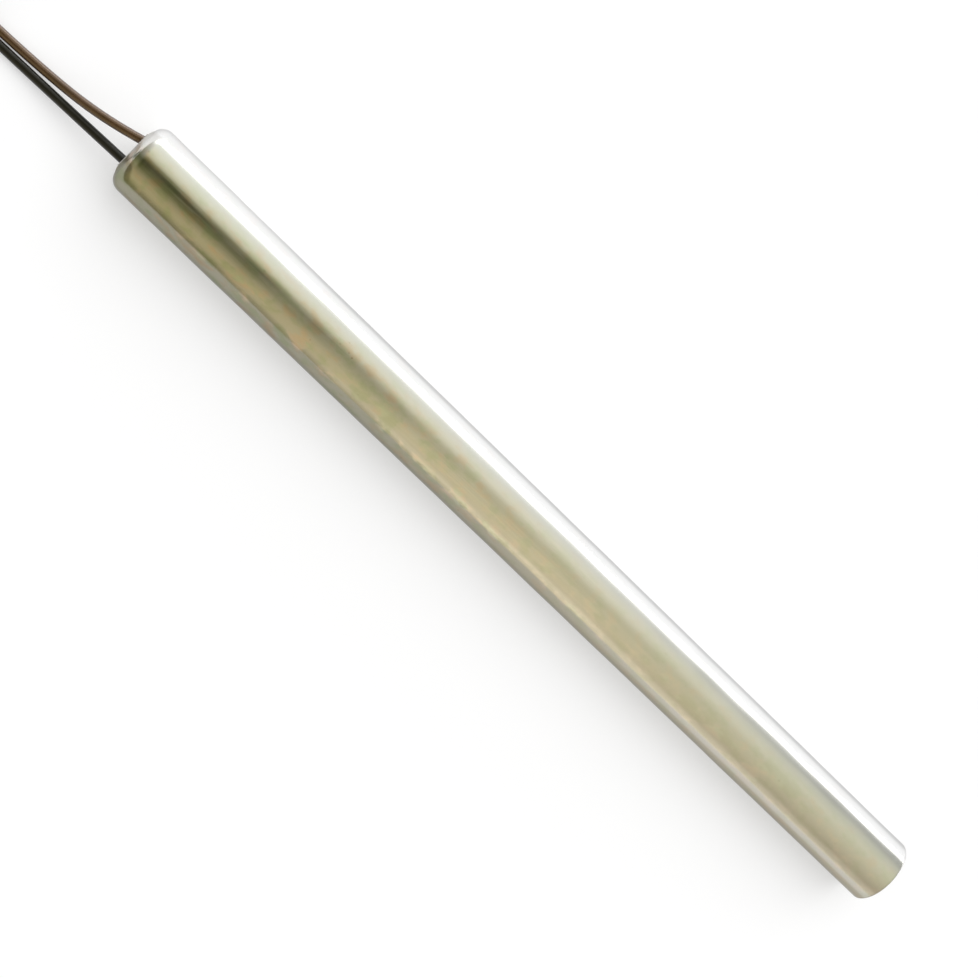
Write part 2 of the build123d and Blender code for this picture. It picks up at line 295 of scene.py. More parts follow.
def rounded_profile(corners, radii, steps):
    """Points along a closed outline with each corner rounded by an arc of its own radius.

    The arc starts and ends where the two sides touch a circle of that radius: at the radius times the
    tangent of half the turn from the corner. Its points go round the circle's middle in even steps.
    """
    corners = np.array(corners, dtype=float)
    radii = np.array(radii, dtype=float)
    before = unit(np.roll(corners, 1, axis=0) - corners)
    after = unit(np.roll(corners, -1, axis=0) - corners)
    half_inside = np.arccos(np.clip((before * after).sum(axis=1), -1, 1)) / 2
    centres = corners + unit(before + after) * (radii / np.sin(half_inside))[:, None]
    starts = corners + before * (radii / np.tan(half_inside))[:, None]
    ends = corners + after * (radii / np.tan(half_inside))[:, None]
    share = np.linspace(0, 1, steps)[None, :, None]
    turn = (math.pi - 2 * half_inside)[:, None, None]
    arm_start = (starts - centres)[:, None, :]
    arm_end = (ends - centres)[:, None, :]
    arms = (np.sin((1 - share) * turn) * arm_start + np.sin(share * turn) * arm_end) / np.sin(turn)
    return (centres[:, None, :] + arms).reshape(-1, 2)


def spread_evenly(profile, longest):
    """The closed outline with extra points, so that no step is longer than the given length."""
    steps = np.roll(profile, -1, axis=0) - profile
    counts = np.maximum(1, np.ceil(np.linalg.norm(steps, axis=1) / longest).astype(int))
    order = np.arange(counts.sum()) - np.repeat(np.cumsum(counts) - counts, counts)
    share = (order / np.repeat(counts, counts))[:, None]
    return np.repeat(profile, counts, axis=0) + np.repeat(steps, counts, axis=0) * share


def grid_mesh(name, points, closed_rows):
    """A mesh of quads between neighbouring points of a grid of rows and columns.

    Columns always join round. Rows join round too where closed_rows is set. Otherwise the first and the
    last row are each closed by a fan to their mean point.
    """
    rows, columns = points.shape[:2]
    index = np.arange(rows * columns).reshape(rows, columns)
    first = index if closed_rows else index[:-1]
    second = np.roll(index, -1, axis=0) if closed_rows else index[1:]
    corners = [first, np.roll(first, -1, axis=1), np.roll(second, -1, axis=1), second]
    faces = np.stack(corners, axis=-1).reshape(-1, 4).tolist()
    vertices = points.reshape(-1, 3)
    if not closed_rows:
        ends = np.stack([points[0].mean(axis=0), points[-1].mean(axis=0)])
        first_centre = np.full(columns, len(vertices))
        last_centre = first_centre + 1
        vertices = np.concatenate([vertices, ends])
        faces += np.stack([np.roll(index[0], -1), index[0], first_centre], axis=-1).tolist()
        faces += np.stack([index[-1], np.roll(index[-1], -1), last_centre], axis=-1).tolist()
    mesh = bpy.data.meshes.new(name)
    mesh.from_pydata(vertices.tolist(), [], faces)
    mesh.polygons.foreach_set("use_smooth", np.ones(len(mesh.polygons), dtype=bool))
    mesh.update()
    return mesh


def link_piece(name, data, material, slot, *nodes):
    """Puts a finished mesh or curve in the scene, on the one body, in place of its CAD nodes."""
    piece = bpy.data.objects.new(name, data)
    bpy.context.scene.collection.objects.link(piece)
    piece.data.materials.append(material)
    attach(piece, "root")
    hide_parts(*nodes)
    return piece


def link_surface(name, points, closed_rows, material, slot, node):
    """Puts the mesh of a grid of points in the scene as a finished piece."""
    link_piece(name, grid_mesh(name, points, closed_rows), material, slot, node)


# Shader nodes


def add_node(tree, kind, inputs=None, **settings):
    """A node with its own settings. The inputs give a socket, by name or number, a value or an output."""
    node = tree.nodes.new(kind)
    for name, value in settings.items():
        setattr(node, name, value)
    for key, value in (inputs or {}).items():
        if isinstance(value, bpy.types.NodeSocket):
            tree.links.new(value, node.inputs[key])
        else:
            node.inputs[key].default_value = value
    return node


def math_node(tree, operation, *values):
    """The result of a Math node."""
    return add_node(tree, "ShaderNodeMath", dict(enumerate(values)), operation=operation).outputs[0]


def vector_node(tree, operation, *values):
    """The outputs of a Vector Math node."""
    return add_node(tree, "ShaderNodeVectorMath", dict(enumerate(values)), operation=operation).outputs


def product(tree, first, *others):
    """Masks multiplied by each other."""
    for other in others:
        first = math_node(tree, "MULTIPLY", first, other)
    return first


def spread(tree, mask, low, high):
    """A mask carried in proportion from low to high."""
    return add_node(tree, "ShaderNodeMapRange", {0: mask, 3: low, 4: high}).outputs[0]


def smooth_step(tree, value, start, end, low=0.0, high=1.0):
    """A value carried smoothly from low at its start to high at its end."""
    inputs = {0: value, 1: start, 2: end, 3: low, 4: high}
    return add_node(tree, "ShaderNodeMapRange", inputs, interpolation_type="SMOOTHSTEP").outputs[0]


def opaque(colour):
    """A colour with an alpha of 1."""
    return (*colour, 1)


def dimmed(colour, share):
    """A share of a colour's light."""
    return [channel * share for channel in colour]


def mixed_colour(tree, factor, first, second, blend="MIX"):
    """Two colours mixed by a factor."""
    inputs = {0: factor, 6: first, 7: second}
    return add_node(tree, "ShaderNodeMix", inputs, data_type="RGBA", blend_type=blend).outputs[2]


def add_ramp(tree, value, low, high, stops):
    """A colour that follows a value between two limits. A stop is a place between them and its colour."""
    share = add_node(tree, "ShaderNodeMapRange", {0: value, 1: low, 2: high}).outputs[0]
    ramp = add_node(tree, "ShaderNodeValToRGB", {0: share})
    elements = ramp.color_ramp.elements
    elements.remove(elements[1])
    places = [(place - low) / (high - low) for place, _ in stops]
    elements[0].position = places[0]
    for place in places[1:]:
        elements.new(place)
    for element, (_, colour) in zip(elements, stops):
        element.color = opaque(colour)
    return ramp.outputs[0]


def new_group(name, inputs, outputs):
    """An empty node group with the given sockets, its input node's outputs and its output node."""
    kinds = {"value": "NodeSocketFloat", "colour": "NodeSocketColor", "vector": "NodeSocketVector"}
    tree = bpy.data.node_groups.new(name, "ShaderNodeTree")
    for direction, sockets in (("INPUT", inputs), ("OUTPUT", outputs)):
        for socket, kind in sockets.items():
            tree.interface.new_socket(name=socket, in_out=direction, socket_type=kinds[kind])
    return tree, tree.nodes.new("NodeGroupInput").outputs, tree.nodes.new("NodeGroupOutput")


def make_grain(name):
    """Fine grain that may be stretched along X: a height and a mask from noise."""
    tree, given, out = new_group(
        name,
        {"Vector": "vector", "Along": "value", "Across": "value", "Detail": "value"},
        {"Height": "value", "Mask": "value"},
    )
    stretch = add_node(
        tree, "ShaderNodeCombineXYZ", {0: given["Along"], 1: given["Across"], 2: given["Across"]}
    ).outputs[0]
    scaled = vector_node(tree, "MULTIPLY", given["Vector"], stretch)[0]
    inputs = {"Vector": scaled, "Scale": 1.0, "Detail": given["Detail"]}
    noise = add_node(tree, "ShaderNodeTexNoise", inputs).outputs[0]
    tree.links.new(noise, out.inputs["Height"])
    tree.links.new(smooth_step(tree, noise, 0.35, 0.65), out.inputs["Mask"])
    return tree


def make_clouds(name):
    """Slow clouds of a second and a third colour over a first, and the mask of the second."""
    tree, given, out = new_group(
        name,
        {"Vector": "vector", "Scale": "value", "Base": "colour", "First": "colour", "Second": "colour"},
        {"Colour": "colour", "Mask": "value"},
    )
    inputs = {"Vector": given["Vector"], "Scale": given["Scale"], "Detail": 3.0}
    noise = add_node(tree, "ShaderNodeTexNoise", inputs).outputs["Color"]
    channels = add_node(tree, "ShaderNodeSeparateColor", {0: noise}).outputs
    first_mask, second_mask = [smooth_step(tree, channel, 0.45, 0.68) for channel in channels[:2]]
    colour = mixed_colour(tree, first_mask, given["Base"], given["First"])
    colour = mixed_colour(tree, second_mask, colour, given["Second"])
    tree.links.new(colour, out.inputs["Colour"])
    tree.links.new(first_mask, out.inputs["Mask"])
    return tree


def make_specks(name):
    """Small scattered specks: a mask that is 1 inside them, where a cell's chance is under the share."""
    tree, given, out = new_group(
        name, {"Vector": "vector", "Scale": "value", "Size": "value", "Share": "value"}, {"Mask": "value"}
    )
    inputs = {"Vector": given["Vector"], "Scale": given["Scale"], "Randomness": 1.0}
    cells = add_node(tree, "ShaderNodeTexVoronoi", inputs).outputs
    chance = add_node(tree, "ShaderNodeSeparateColor", {0: cells["Color"]}).outputs[0]
    chosen = math_node(tree, "LESS_THAN", chance, given["Share"])
    core = math_node(tree, "MULTIPLY", given["Size"], 0.4)
    spot = smooth_step(tree, cells["Distance"], core, given["Size"], 1.0, 0.0)
    tree.links.new(product(tree, chosen, spot), out.inputs["Mask"])
    return tree


GROUPS = {"grain": make_grain, "clouds": make_clouds, "specks": make_specks}


def place_group(tree, name, **inputs):
    """The outputs of a shared group, which is made the first time that it is asked for."""
    group = bpy.data.node_groups.get(name) or GROUPS[name](name)
    return add_node(tree, "ShaderNodeGroup", inputs, node_tree=group).outputs


def place_clouds(tree, place, scale, base, first, second):
    """The colour and the mask of clouds of two colours over a base."""
    colours = {"Base": opaque(base), "First": opaque(first), "Second": opaque(second)}
    return place_group(tree, "clouds", Vector=place, Scale=scale, **colours)


# Materials


def new_material(name, roughness, metallic=0.0):
    """A material, its tree, its Principled shader and its Object coordinates."""
    material = bpy.data.materials.new(name)
    material.use_nodes = True
    tree = material.node_tree
    shader = tree.nodes["Principled BSDF"]
    shader.inputs["Metallic"].default_value = metallic
    shader.inputs["Roughness"].default_value = roughness
    return material, tree, shader, add_node(tree, "ShaderNodeTexCoord").outputs["Object"]


def add_bump(tree, shader, height, distance):
    """Feeds a height to the shader's normal, as a depth in metres."""
    bump = add_node(tree, "ShaderNodeBump", {"Distance": distance, "Height": height})
    tree.links.new(bump.outputs["Normal"], shader.inputs["Normal"])


def add_skin(tree, shader, place, rough, depth, along, across, detail=3.0):
    """Fine grain that carries the roughness between two levels and gives the surface its depth."""
    grain = place_group(tree, "grain", Vector=place, Along=along, Across=across, Detail=detail)
    tree.links.new(spread(tree, grain["Mask"], *rough), shader.inputs["Roughness"])
    add_bump(tree, shader, grain["Height"], depth)


def sheath_steel(finish):
    """Drawn and polished stainless steel, with a painted highlight on its +Y side and painted shade that
    deepens towards the other.

    The painted shade is deepest low on the -Y side near the mouth and on that side of the rolled rim, and a
    painted reflection, a light line, runs through it towards the tip. Painted shade darkens a strip along
    the +Y edge, and the tip's end is darker. Warm and greenish clouds and small pits lie over the colour,
    plainest towards the tip and faint on the +Y side. The lip is ground rough.
    """
    material, tree, shader, place = new_material("polished sheath steel", 0.2, 1.0)
    along, aside, _ = add_node(tree, "ShaderNodeSeparateXYZ", {0: place}).outputs

    def from_mouth(start, end, low=0.0, high=1.0):
        """A smooth step between two distances from the mouth."""
        return smooth_step(tree, along, MOUTH_X + start, MOUTH_X + end, low, high)

    def from_axis(start, end, low=0.0, high=1.0):
        """A smooth step between two distances to the +Y side of the axis."""
        return smooth_step(tree, aside, start, end, low, high)

    drawn = vector_node(tree, "MULTIPLY", place, (0.6, 1.0, 1.0))[0]
    clouds = place_clouds(tree, drawn, 620.0, (1, 1, 1), finish.warm_cloud, finish.green_cloud)
    rolled = from_mouth(0.0006, 0.0026, 1.0, 0.0)
    # Boundary of the painted shade: the distance to the +Y side, made uneven by the clouds
    edge = math_node(tree, "ADD", aside, spread(tree, clouds["Mask"], -0.0002, 0.0004))
    # On the rolled rim the deeper painted shade reaches further round towards +Y
    rim_edge = math_node(tree, "MULTIPLY_ADD", rolled, -0.0026, edge)
    # Painted shade: the steel colour darkens from the +Y side towards the -Y side
    tint = smooth_step(tree, edge, 0.0008, -0.0046)
    # Deeper painted shade low on the -Y side and on that side of the rim, strongest near the mouth
    low_side = smooth_step(tree, rim_edge, -0.0028, -0.0038)
    deep_painted_shade = product(tree, low_side, from_mouth(0.03, 0.11, 1.0, 0.2))
    # A painted reflection: a light line of plain steel colour inside the painted shade, towards the tip
    line_width = product(tree, from_axis(-0.0031, -0.0036), from_axis(-0.0043, -0.0039))
    painted_reflection_line = product(tree, line_width, from_mouth(0.075, 0.11, 0.0, 0.3))
    # Painted shade in a strip along the +Y edge; the tip's end is darkened as well
    painted_edge_shade = product(tree, from_axis(0.0043, 0.0048), from_mouth(0.015, 0.03))
    tip_end = smooth_step(tree, along, TIP_X - 0.0005, TIP_X - 0.0001)
    painted_edge_shade_and_dark_tip = math_node(tree, "MAXIMUM", painted_edge_shade, tip_end)
    cloudy = product(tree, from_mouth(0.03, 0.09, 1.0, 0.4), from_axis(0.0, 0.0026, 1.0, 0.12))
    specks = place_group(tree, "specks", Vector=place, Scale=1300.0, Size=0.2, Share=0.12)
    pits = product(tree, specks["Mask"], clouds["Mask"], cloudy)

    colour = opaque(finish.steel)
    # In turn: painted highlight, painted shade, deeper painted shade, painted reflection line, painted edge
    # shade, then clouds and pits
    for factor, following, blend in (
        (from_axis(0.0032, 0.0038), opaque(finish.painted_highlight_steel), "MIX"),
        (tint, opaque(finish.painted_shade_steel), "MIX"),
        (deep_painted_shade, opaque(finish.deep_painted_shade_steel), "MIX"),
        (painted_reflection_line, opaque(finish.steel), "MIX"),
        (painted_edge_shade_and_dark_tip, opaque(finish.edge_shade_and_tip_share), "MULTIPLY"),
        (cloudy, clouds["Colour"], "MULTIPLY"),
        (pits, opaque(finish.pit), "MULTIPLY"),
    ):
        colour = mixed_colour(tree, factor, colour, following, blend)
    tree.links.new(colour, shader.inputs["Base Color"])
    shader.inputs["Specular Tint"].default_value = opaque((0.65, 0.65, 0.65))

    lines = place_group(tree, "grain", Vector=place, Along=120.0, Across=9000.0, Detail=3.0)
    polish = spread(tree, math_node(tree, "MAXIMUM", lines["Mask"], rolled), 0.13, 0.2)
    roughness = math_node(tree, "MAXIMUM", polish, from_mouth(0.0002, 0.0008, 0.45, 0.13))
    tree.links.new(roughness, shader.inputs["Roughness"])
    add_bump(tree, shader, lines["Height"], 0.0000015)
    return material


def weld_steel(finish):
    """Steel of the closing disc: fine turned rings, and beside the weld the tints that its heat leaves.

    The colour follows the distance from the axis, which a slow noise shifts a little. The rings are a sine
    of that distance.
    """
    ring_pitch = 0.00014
    ring_share = 0.3
    shift = 0.00022
    tints = [
        (0.0, finish.disc_steel),
        (0.0029, finish.disc_steel),
        (0.00335, finish.straw),
        (0.0036, finish.plum),
        (0.0038, finish.blue),
        (0.0040, finish.bead),
        (0.0045, finish.bead),
    ]
    material, tree, shader, place = new_material("welded steel", 0.26, 1.0)
    centred = vector_node(tree, "SUBTRACT", place, (0, 0, AXIS_HEIGHT))[0]
    level = vector_node(tree, "MULTIPLY", centred, (0, 1, 1))[0]
    radius = vector_node(tree, "LENGTH", level)["Value"]
    drift = place_group(tree, "grain", Vector=place, Along=700.0, Across=700.0, Detail=2.0)
    shifted = math_node(tree, "MULTIPLY_ADD", drift["Mask"], shift, radius)
    tree.links.new(add_ramp(tree, shifted, 0.0, 0.005, tints), shader.inputs["Base Color"])
    grain = place_group(tree, "grain", Vector=place, Along=6000.0, Across=6000.0, Detail=4.0)
    tree.links.new(spread(tree, grain["Mask"], 0.24, 0.36), shader.inputs["Roughness"])
    rings = math_node(tree, "SINE", math_node(tree, "MULTIPLY", radius, 2 * math.pi / ring_pitch))
    add_bump(tree, shader, math_node(tree, "MULTIPLY_ADD", rings, ring_share, grain["Height"]), 0.000004)
    return material


def plain_metal(name, colour, share, rough, scale):
    """A small metal piece: clouds of its colour and shares of it, fine drawn lines and varied roughness."""
    material, tree, shader, place = new_material(name, rough[0], 1.0)
    clouds = place_clouds(tree, place, scale, colour, dimmed(colour, share), dimmed(colour, (1 + share) / 2))
    tree.links.new(clouds["Colour"], shader.inputs["Base Color"])
    add_skin(tree, shader, place, rough, depth=0.000004, along=900.0, across=9000.0)
    return material


def fired_ceramic(name, colour, rough, depth):
    """Ceramic or pressed powder: fine even grain, faint clouds and a few dark pores."""
    material, tree, shader, place = new_material(name, rough[0])
    red, green, blue = colour
    clouds = place_clouds(tree, place, 260.0, colour, dimmed(colour, 0.93), (red, green * 0.97, blue * 0.9))
    pores = place_group(tree, "specks", Vector=place, Scale=1500.0, Size=0.2, Share=0.12)
    mixed = mixed_colour(tree, pores["Mask"], clouds["Colour"], opaque(dimmed(colour, 0.55)))
    tree.links.new(mixed, shader.inputs["Base Color"])
    add_skin(tree, shader, place, rough, depth, along=9000.0, across=9000.0, detail=4.0)
    return material


def moulded_plastic(name, colour, rough, depth, coat=0.0, specular=0.5, specular_tint=(1, 1, 1)):
    """Insulation, tie or collar: a slight sheen, close clouds of tone and a fine skin."""
    material, tree, shader, place = new_material(name, rough[0])
    lighter = [min(1.0, channel * 1.12 + 0.002) for channel in colour]
    clouds = place_clouds(tree, place, 500.0, colour, dimmed(colour, 0.82), lighter)
    tree.links.new(clouds["Colour"], shader.inputs["Base Color"])
    add_skin(tree, shader, place, rough, depth, along=4000.0, across=8000.0)
    sheen = {"Specular IOR Level": specular, "Specular Tint": opaque(specular_tint)}
    sheen |= {"Coat Weight": coat, "Coat Roughness": 0.16, "Coat IOR": 1.8}
    for socket, value in sheen.items():
        shader.inputs[socket].default_value = value
    return material


# Pieces


class IGNITER_OT_sheath(bpy.types.Operator):
    """Turn the drawn sheath with its rolled mouth and its broken tip edge"""

    bl_idname = "igniter.sheath"
    bl_label = "Sheath"

    def execute(self, context):
        sheath = context.scene.igniter_sheath
        outer = AXIS_HEIGHT
        inner = outer - sheath.wall
        lean = math.atan(sheath.rim_rise / (outer - sheath.mouth_radius))
        lip_depth = sheath.wall / math.cos(lean)
        inner_bend_x = MOUTH_X + lip_depth + (inner - sheath.mouth_radius) * math.tan(lean)
        edge = sheath.edge_break
        profile = rounded_profile(
            [
                (TIP_X, outer),
                (TIP_X, inner),
                (inner_bend_x, inner),
                (MOUTH_X + lip_depth, sheath.mouth_radius),
                (MOUTH_X, sheath.mouth_radius),
                (MOUTH_X + sheath.rim_rise, outer),
            ],
            [sheath.tip_break, edge, sheath.rim_radius - sheath.wall, edge, edge, sheath.rim_radius],
            steps=9,
        )
        profile = spread_evenly(profile, longest=0.0012)
        stations, radii = profile[:, :1], profile[:, 1:]
        angles = around(224)
        # Slow waves: a sum of sines of station and angle, each with its own phase, never outside the tube
        random = np.random.default_rng(WAVE_SEED)
        waves = np.zeros((len(profile), angles.shape[1]))
        for lobes in WAVE_LOBES:
            rate, phase = random.uniform(*WAVE_RATES), random.uniform(0, 2 * math.pi)
            waves += np.sin(stations * rate + phase) * np.sin(lobes * angles + 3 * phase) / math.sqrt(lobes)
        inward = sheath.waviness * (1 + waves / np.abs(waves).max()) / 2
        on_outside = np.clip((radii - inner) / (outer - inner), 0, 1)
        points = turned_points(stations, radii - inward * on_outside, angles)
        steel = sheath_steel(context.scene.igniter_finish)
        link_surface("drawn_sheath", points[::-1], True, steel, "polished_steel", "sheath")
        return {"FINISHED"}


class IGNITER_OT_tip(bpy.types.Operator):
    """Close the tip with its disc and the rippled weld round it"""

    bl_idname = "igniter.tip"
    bl_label = "Tip disc and weld"

    def execute(self, context):
        sheath = context.scene.igniter_sheath
        leg = sheath.weld_leg
        bore = AXIS_HEIGHT - sheath.wall
        weld_inner = bore - leg
        eye = 0.0002
        face_radii = np.linspace(eye, weld_inner, 18)
        weld_radii = weld_inner + leg * np.linspace(0, 1, 15)[1:]
        radii = np.concatenate([face_radii, weld_radii])[:, None]
        angles = around(324)
        # The bead: a rounded slope from disc to bore, with ripples that lag behind towards its edges
        slope_share, ripple_share, lag = 0.82, 0.13, 5
        bead = np.clip((radii - weld_inner) / leg, 0, 1)
        slope = slope_share * np.sin(bead * math.pi / 2)
        ripple = 0.5 + 0.5 * np.cos(sheath.ripples * angles + lag * (bead - 0.5) ** 2)
        height = slope + ripple_share * np.sin(bead * math.pi) * ripple
        face = turned_points(DISC_HIGH.x - leg + leg * height, radii, angles)
        rim = turned_points(DISC_LOW.x, bore, angles)
        middle = turned_points(DISC_LOW.x, eye, angles)
        points = np.concatenate([face, rim, middle])
        steel = weld_steel(context.scene.igniter_finish)
        link_surface("welded_tip", points, False, steel, "welded_steel", "tip_disc")
        return {"FINISHED"}


class IGNITER_OT_seal(bpy.types.Operator):
    """Pour the seal behind the lip, climbing a little up the leads"""

    bl_idname = "igniter.seal"
    bl_label = "Mouth seal"

    def execute(self, context):
        sheath = context.scene.igniter_sheath
        leads = context.scene.igniter_leads
        finish = context.scene.igniter_finish
        clearance = 0.00002
        eye = 0.0001
        mouth = sheath.mouth_radius - clearance
        radii = np.linspace(eye, mouth, 48)[:, None]
        angles = around(180)
        # The face sinks between the lip and the leads, and climbs each of them by a falling exponential
        sink, most_climb = 0.0001, 1.2
        lip_reach, lead_reach = 0.0002, 0.00022
        climb = np.exp((radii - mouth) / lip_reach)
        for side in (1, -1):
            from_lead = np.hypot(radii * np.cos(angles) - side * leads.spacing / 2, radii * np.sin(angles))
            gap = np.clip(from_lead - leads.diameter / 2, 0, None)
            climb = climb + np.exp(-gap / lead_reach)
        face_x = EXIT_X + sink - sheath.seal_climb * np.clip(climb, 0, most_climb)
        face = turned_points(face_x, radii, angles)
        back = turned_points(SEAL_HIGH.x, mouth, angles)
        middle = turned_points(SEAL_HIGH.x, eye, angles)
        points = np.concatenate([face, back, middle])[::-1]
        compound = fired_ceramic("potting compound", finish.seal, (0.45, 0.7), 0.00001)
        link_surface("potted_seal", points, False, compound, "seal_compound", "mouth_seal")
        return {"FINISHED"}


def winding_points(hank, leads, aside, half_turns):
    """Control points of a lead's turns, starting and ending at the waist.

    A fold is a polygon round its half circle, so that the spline touches the circle at the middle of each
    leg. A side has the two corners where the tangents of its drawn-in arcs cross. A lead set aside from the
    middle of the pair by a distance has its corners moved along by that distance times the tangent of half
    the bend. A turn climbs to the next level in the first half of the fold nearer the sheath.
    """
    radius = leads.diameter / 2
    fold = hank.fold_radius + hank.ring_pitch / 2 + aside
    half_chord = (hank.half_run - hank.half_waist) / 2
    half_bend = math.atan(hank.waist_depth / 2 / half_chord)
    tangent = math.hypot(half_chord, hank.waist_depth / 2) / (2 * math.cos(half_bend))
    shift = aside * math.tan(half_bend)
    outer_corner = hank.half_run - tangent - shift
    inner_corner = hank.half_waist + tangent - shift
    waist = fold - hank.waist_depth

    levels = round((HANK_HIGH.z - leads.diameter) / hank.level_pitch)
    waist_floor = leads.tie_thickness + radius
    waist_pitch = (TIE_HIGH.z - 2 * waist_floor) / levels

    step = math.pi / hank.fold_points
    angles = (np.arange(hank.fold_points) + 0.5) * step
    corner_radius = fold / math.cos(step / 2)
    rise = np.clip(np.arange(hank.fold_points) / 2, 0, 1)
    points = []
    for half in range(half_turns):
        level = half // 2
        heading = 1 if half % 2 else -1
        climb = rise * (1 if heading > 0 else 0)
        level_z = radius + hank.level_pitch * (level + climb)
        waist_z = waist_floor + waist_pitch * level
        next_waist_z = waist_z + waist_pitch * climb[-1]
        along = heading * (hank.half_run + corner_radius * np.sin(angles))
        across = heading * corner_radius * np.cos(angles)
        points += [(0, heading * waist, waist_z), (heading * inner_corner, heading * waist, waist_z)]
        points.append((heading * outer_corner, heading * fold, level_z[0]))
        points += list(zip(along, across, level_z))
        points.append((heading * outer_corner, -heading * fold, level_z[-1]))
        points.append((heading * inner_corner, -heading * waist, next_waist_z))
    side = 1 if half_turns % 2 else -1
    points.append((0, side * waist, waist_floor + waist_pitch * (half_turns // 2)))
    return [(x + hank.centre_x, y, z) for x, y, z in points]


def lead_curve(name, points, diameter):
    """A round lead on one quadratic spline with the given control points."""
    curve = bpy.data.curves.new(name, "CURVE")
    curve.dimensions = "3D"
    curve.bevel_depth = diameter / 2
    curve.bevel_resolution = 5
    curve.use_fill_caps = True
    curve.resolution_u = 8
    spline = curve.splines.new("NURBS")
    spline.points.add(len(points) - 1)
    spline.points.foreach_set("co", np.array([(*point, 1.0) for point in points]).ravel())
    spline.order_u = 3
    spline.use_endpoint_u = True
    return curve


class IGNITER_OT_leads(bpy.types.Operator):
    """Lay the two leads from the mouth, wind them into the hank and bring out their ends"""

    bl_idname = "igniter.leads"
    bl_label = "Leads"

    def execute(self, context):
        leads = context.scene.igniter_leads
        hank = context.scene.igniter_hank
        finish = context.scene.igniter_finish
        half_turns = 2 * hank.full_turns
        aside = hank.ring_pitch / 2
        brown_sheen = {"coat": 0.6, "specular": 1.0, "specular_tint": (1, 0.7, 0.5)}
        black_sheen = {"coat": 0.2, "specular": 0.3}
        brown = moulded_plastic("brown insulation", finish.brown, (0.24, 0.34), 0.000006, **brown_sheen)
        black = moulded_plastic("black insulation", finish.black, (0.36, 0.5), 0.000006, **black_sheen)
        windings = {
            "brown": (brown, BROWN_ROUTE, BROWN_TAIL, -aside, half_turns + 1, leads.brown_length),
            "black": (black, BLACK_ROUTE, BLACK_TAIL, aside, half_turns, leads.black_length),
        }
        for name, (material, route, tail, offset, halves, length) in windings.items():
            points = route + winding_points(hank, leads, offset, halves) + tail
            curve = lead_curve(f"{name}_wound_lead", points, leads.diameter)
            nodes = [f"{name}_lead", "lead_hank", f"{name}_lead_end"]
            piece = link_piece(f"{name}_wound_lead", curve, material, f"{name}_insulation", *nodes)
        return {"FINISHED"}


def crimped_pin(leads, angles):
    """A ferrule's tube along X: round ends, and four rows of dents pressed in from four sides.

    A dent takes its share off the radius by the cosines of the place and of the angle, while they exceed 0.
    """
    row_pitch, sides, dent_share = 1 / 5, 4, 0.14
    dents_start, dents_end = 0.12, 0.94
    end_share, end_length = 0.2, 0.03
    along = np.linspace(0, 1, 72)[:, None]
    rows = np.clip(np.cos(along * 2 * math.pi / row_pitch), 0, 1)
    rows = rows * (along > dents_start) * (along < dents_end)
    dents = rows * np.clip(np.cos(sides * angles), 0, 1)
    ends = np.clip(np.minimum(along, 1 - along) / end_length, 0, 1) ** 0.5
    radii = leads.pin_radius * (1 - end_share + end_share * ends) * (1 - dent_share * dents)
    return round_points(along * leads.pin_length, radii, angles)


def flared_collar(leads, angles):
    """A ferrule's collar along X: a funnel for the lead that narrows by a smooth step to its neck."""
    step_start, step_length, step_share = 0.3, 0.3, 0.2
    edge_length, edge_share = 0.04, 0.12
    outside_x = np.linspace(0, 1, 40)
    step = np.clip((outside_x - step_start) / step_length, 0, 1)
    edge = np.clip((edge_length - np.minimum(outside_x, 1 - outside_x)) / edge_length, 0, 1)
    outside = (1 - step_share * step * step * (3 - 2 * step)) * (1 - edge_share * edge ** 2)
    # The inside, from the floor of the funnel out to its lip
    inside_x = [0.62, 0.3, 0.06, 0.015]
    inside = [0.5, 0.5, 0.78, 0.84]
    stations = leads.collar_length * np.concatenate([inside_x, outside_x])[:, None]
    radii = leads.collar_radius * np.concatenate([inside, outside])[:, None]
    return round_points(stations, radii, angles)


class IGNITER_OT_ferrules(bpy.types.Operator):
    """Crimp a ferrule with its collar on each lead's end"""

    bl_idname = "igniter.ferrules"
    bl_label = "Ferrules"

    def execute(self, context):
        leads = context.scene.igniter_leads
        finish = context.scene.igniter_finish
        tinned = plain_metal("tinned copper", finish.tinned, 0.86, (0.18, 0.34), scale=900.0)
        plastic = moulded_plastic("collar plastic", finish.collar, (0.26, 0.36), 0.000004, coat=0.4)
        angles = around(64)
        for name in ("brown", "black"):
            mount = MOUNTS[f"{name}_ferrule"]
            heading = np.array(mount["axis"])
            start = np.array(mount["pos_m"]) - heading * leads.pin_length / 2
            pin = placed_points(crimped_pin(leads, angles), start, heading)
            start = start - heading * leads.collar_length
            collar = placed_points(flared_collar(leads, angles), start, heading)
            link_surface(f"{name}_crimped_ferrule", pin, False, tinned, "tinned_copper", f"{name}_ferrule")
            link_surface(f"{name}_flared_collar", collar, False, plastic, "collar_plastic", f"{name}_collar")
        return {"FINISHED"}


def block_profile(half_width, half_height, radius, steps):
    """A rectangle round its middle with round corners."""
    corners = [(-half_width, -half_height), (half_width, -half_height)]
    corners += [(half_width, half_height), (-half_width, half_height)]
    return rounded_profile(corners, [radius] * 4, steps)


